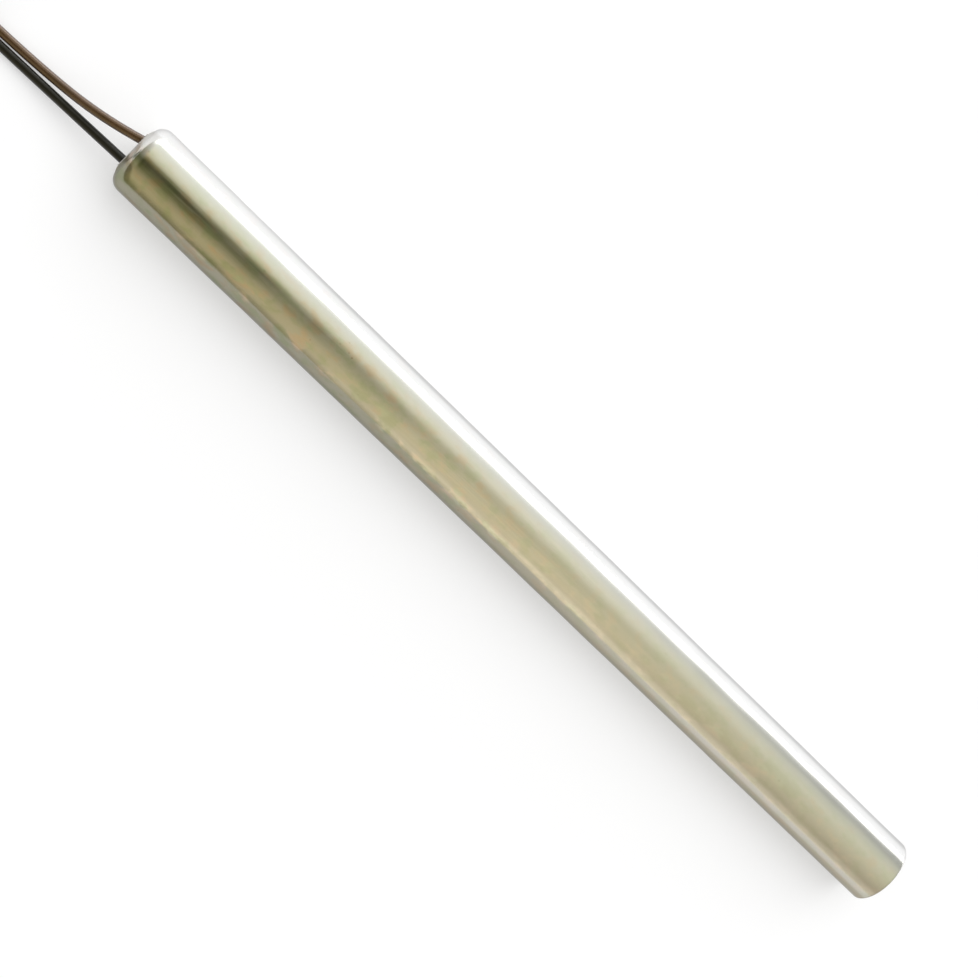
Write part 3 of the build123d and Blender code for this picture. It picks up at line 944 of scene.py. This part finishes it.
def ribbed_strap(half_width, half_y, half_z, thickness):
    """The tie's strap round its middle: a flat bar with round edges, carried along a rectangle in Y and Z.

    The rectangle has round corners. Teeth take a share off the bar's inner side on every other three steps.
    """
    bend_radius, step = 0.0007, 0.00008
    tooth_steps, tooth_share = 6, 0.1
    edge_share, toothed_share = 0.3, 0.8
    corners = [(half_y, -half_z), (half_y, half_z), (-half_y, half_z), (-half_y, -half_z)]
    outline = spread_evenly(rounded_profile(corners, [bend_radius] * 4, steps=9), longest=step)
    headings = unit(np.roll(outline, -1, axis=0) - np.roll(outline, 1, axis=0))
    outward = np.stack([headings[:, 1], -headings[:, 0]], axis=1)
    teeth = tooth_share * (np.cos(np.arange(len(outline)) * 2 * math.pi / tooth_steps) > 0)
    section = block_profile(half_width, thickness / 2, thickness * edge_share, steps=5)
    section = spread_evenly(section, longest=0.0003)
    inner_side = (section[:, 1] > 0) & (np.abs(section[:, 0]) < half_width * toothed_share)
    depth = section[None, :, 1] * np.where(inner_side[None, :], 1 - teeth[:, None], 1.0)
    across = outline[:, None, :] - depth[..., None] * outward[:, None, :]
    along = np.broadcast_to(section[None, :, 0, None], (*depth.shape, 1))
    return np.concatenate([along, across], axis=-1)


def locking_block(half_x, half_y, half_z):
    """The tie's head round its middle: slices across Y of a round rectangle, smaller towards both ends."""
    depths = np.array([-1, -1, -0.96, -0.86, -0.7, 0.6, 0.8, 0.93, 1.0, 1.0, 0.62, 0.6])[:, None]
    sizes = np.array([0.5, 0.86, 0.94, 0.98, 1.0, 1.0, 0.97, 0.92, 0.86, 0.58, 0.52, 0.3])[:, None]
    along, up = block_profile(half_x, half_z, radius=0.0005, steps=7).T
    across = np.broadcast_to(depths * half_y, (len(depths), len(along)))
    return np.stack([sizes * along, across, sizes * up], axis=-1)


class IGNITER_OT_tie(bpy.types.Operator):
    """Bind the hank's waist with a ribbed tie and its locking head"""

    bl_idname = "igniter.tie"
    bl_label = "Tie"

    def execute(self, context):
        strap = context.scene.igniter_leads.tie_thickness
        finish = context.scene.igniter_finish
        plastic = moulded_plastic("tie nylon", finish.tie, (0.34, 0.46), 0.000005, coat=0.15)
        head_overhang = 0.0004
        head_half_height = 0.0015
        half_x = (TIE_HIGH.x - TIE_LOW.x) / 2
        reach_y = -TIE_LOW.y
        centre = np.array([context.scene.igniter_hank.centre_x, 0.0, TIE_HIGH.z / 2])
        band = ribbed_strap(half_x - head_overhang, reach_y - strap / 2, TIE_HIGH.z / 2 - strap / 2, strap)
        link_surface("locking_tie", band + centre, True, plastic, "tie_plastic", "hank_tie")
        half_y = (TIE_HIGH.y - reach_y) / 2
        head = locking_block(half_x, half_y, head_half_height) + centre + [0.0, reach_y + half_y, 0.0]
        link_surface("locking_head", head, False, plastic, "tie_plastic", "hank_tie")
        return {"FINISHED"}


class IGNITER_OT_inner(bpy.types.Operator):
    """Give the sealed pieces inside the sheath their finishes"""

    bl_idname = "igniter.inner"
    bl_label = "Inner pieces"

    def execute(self, context):
        finish = context.scene.igniter_finish
        ceramic = fired_ceramic("white ceramic", finish.ceramic, (0.5, 0.68), 0.000008)
        magnesia = fired_ceramic("pressed magnesia", finish.magnesia, (0.8, 0.95), 0.00002)
        nickel = plain_metal("nickel rod", finish.nickel, 0.88, (0.24, 0.4), scale=500.0)
        plated = plain_metal("plated brass", finish.plated, 0.8, (0.22, 0.38), scale=800.0)
        copper = plain_metal("copper strands", finish.copper, 0.72, (0.28, 0.42), scale=1200.0)
        ribbon = plain_metal("resistance ribbon", finish.ribbon, 0.7, (0.36, 0.55), scale=900.0)
        brown = moulded_plastic("brown inner insulation", finish.brown, (0.35, 0.5), 0.000006)
        black = moulded_plastic("black inner insulation", finish.black, (0.35, 0.5), 0.000006)
        for material, names in (
            (ceramic, ["tip_insulator", "hot_core", "cold_core", "rear_bush"]),
            (magnesia, ["magnesia_fill"]),
            (ribbon, ["heating_coil"]),
            (nickel, ["long_pin", "short_pin"]),
            (plated, ["long_pin_barrel", "short_pin_barrel"]),
            (brown, ["brown_inner_lead"]),
            (black, ["black_inner_lead"]),
            (copper, ["brown_conductor", "black_conductor"]),
        ):
            for name in names:
                materials = frame["nodes"][name].data.materials
                materials.clear()
                materials.append(material)
        return {"FINISHED"}


# Stage


def studio_sky(fill):
    """An even fill for matt surfaces, and for what shines a room with bands of light round the X axis.

    The room is bright low on the +Y side, dim straight above the mouth and behind it, and warm elsewhere. It
    changes from one set of bands to the next with the direction's X.
    """
    world = bpy.data.worlds.new("studio")
    world.use_nodes = True
    tree = world.node_tree
    direction = add_node(tree, "ShaderNodeTexCoord").outputs["Generated"]
    along, aside, up = add_node(tree, "ShaderNodeSeparateXYZ", {0: direction}).outputs
    turn = math_node(tree, "MULTIPLY", math_node(tree, "ARCTAN2", aside, up), 180 / math.pi)
    over_mouth, over_middle, over_tip = [
        add_ramp(tree, turn, -180, 180, stops) for stops in (OVER_MOUTH, OVER_MIDDLE, OVER_TIP)
    ]
    behind = add_ramp(tree, aside, -1, 1, BEHIND_MOUTH)
    colour = over_mouth
    for start, end, following in ((0.03, 0.24, over_middle), (0.26, 0.46, over_tip), (-0.3, -0.8, behind)):
        colour = mixed_colour(tree, smooth_step(tree, along, start, end), colour, following)
    matt = add_node(tree, "ShaderNodeLightPath").outputs["Is Diffuse Ray"]
    lit = mixed_colour(tree, matt, colour, opaque((fill, fill, fill)))
    tree.links.new(lit, tree.nodes["Background"].inputs["Color"])
    return world


def seen_floor(stage):
    """A matt pale floor that is lifted a little wherever the camera, metal or glass sees it."""
    material, tree, shader, place = new_material("pale floor", 0.9)
    first, second = dimmed(stage.floor, 0.995), dimmed(stage.floor, 0.99)
    clouds = place_clouds(tree, place, 6.0, stage.floor, first, second)
    tree.links.new(clouds["Colour"], shader.inputs["Base Color"])
    path = add_node(tree, "ShaderNodeLightPath").outputs
    seen = math_node(tree, "MAXIMUM", path["Is Camera Ray"], path["Is Glossy Ray"])
    seen = math_node(tree, "MAXIMUM", seen, path["Is Transmission Ray"])
    shader.inputs["Specular IOR Level"].default_value = 0.0
    shader.inputs["Emission Color"].default_value = (1, 1, 1, 1)
    tree.links.new(math_node(tree, "MULTIPLY", seen, stage.floor_lift), shader.inputs["Emission Strength"])
    return material


class IGNITER_OT_stage(bpy.types.Operator):
    """Set up the floor, the lamp, the sky and the camera"""

    bl_idname = "igniter.stage"
    bl_label = "Stage"

    def execute(self, context):
        scene = context.scene
        stage = scene.igniter_stage
        half = 6.0
        mesh = bpy.data.meshes.new("floor")
        corners = [(-half, -half, 0), (half, -half, 0), (half, half, 0), (-half, half, 0)]
        mesh.from_pydata(corners, [], [(0, 1, 2, 3)])
        mesh.materials.append(seen_floor(stage))
        floor = bpy.data.objects.new("floor", mesh)
        scene.collection.objects.link(floor)

        towards_lamp = Vector((0.15, 0.7, 1.0))
        lamp = bpy.data.objects.new("key", bpy.data.lights.new("key", "SUN"))
        lamp.data.energy = stage.key_strength
        lamp.data.angle = stage.key_angle
        lamp.rotation_euler = towards_lamp.to_track_quat("Z", "Y").to_euler()
        lamp.visible_glossy = False
        scene.collection.objects.link(lamp)
        scene.world = studio_sky(stage.fill)

        tilt, roll = stage.camera_tilt, stage.camera_roll
        forward = Vector((math.sin(tilt), 0, -math.cos(tilt)))
        along = Vector((math.cos(tilt), 0, math.sin(tilt)))
        across = Vector((0, 1, 0))
        right = along * math.cos(roll) + across * math.sin(roll)
        up = across * math.cos(roll) - along * math.sin(roll)
        camera = bpy.data.objects.new("camera", bpy.data.cameras.new("camera"))
        place = Vector((MOUTH_X, stage.camera_side, AXIS_HEIGHT + stage.camera_height))
        camera.matrix_world = Matrix.Translation(place) @ Matrix((right, up, -forward)).transposed().to_4x4()
        camera.data.sensor_width = 36.0
        camera.data.lens = camera.data.sensor_width * stage.lens_pixels / IMAGE_SIZE
        camera.data.clip_start = 0.01
        camera.data.clip_end = 10.0
        scene.collection.objects.link(camera)
        scene.camera = camera
        scene.view_settings.view_transform = "Standard"
        return {"FINISHED"}


class IGNITER_PT_pieces(bpy.types.Panel):
    """The igniter's pieces and their settings"""

    bl_label = "Igniter"
    bl_idname = "IGNITER_PT_pieces"
    bl_space_type = "VIEW_3D"
    bl_region_type = "UI"
    bl_category = "Igniter"

    def draw(self, context):
        for operator in OPERATORS:
            self.layout.operator(operator.bl_idname)
        for name, kind in SETTINGS.items():
            box = self.layout.box()
            settings = getattr(context.scene, name)
            for field in kind.__annotations__:
                box.prop(settings, field)


SETTINGS = {
    "igniter_sheath": SheathSettings,
    "igniter_leads": LeadSettings,
    "igniter_hank": HankSettings,
    "igniter_finish": FinishSettings,
    "igniter_stage": StageSettings,
}
OPERATORS = (
    IGNITER_OT_sheath,
    IGNITER_OT_tip,
    IGNITER_OT_seal,
    IGNITER_OT_tie,
    IGNITER_OT_ferrules,
    IGNITER_OT_leads,
    IGNITER_OT_inner,
    IGNITER_OT_stage,
)
CLASSES = (*SETTINGS.values(), *OPERATORS, IGNITER_PT_pieces)


def register():
    for kind in CLASSES:
        bpy.utils.register_class(kind)
    for name, kind in SETTINGS.items():
        setattr(bpy.types.Scene, name, PointerProperty(type=kind))


def unregister():
    for name in SETTINGS:
        delattr(bpy.types.Scene, name)
    for kind in reversed(CLASSES):
        bpy.utils.unregister_class(kind)


def main():
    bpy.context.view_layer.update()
    register()
    bpy.ops.igniter.sheath()
    bpy.ops.igniter.tip()
    bpy.ops.igniter.seal()
    bpy.ops.igniter.tie()
    bpy.ops.igniter.ferrules()
    bpy.ops.igniter.leads()
    bpy.ops.igniter.inner()
    bpy.ops.igniter.stage()


if __name__ == "__main__":
    main()
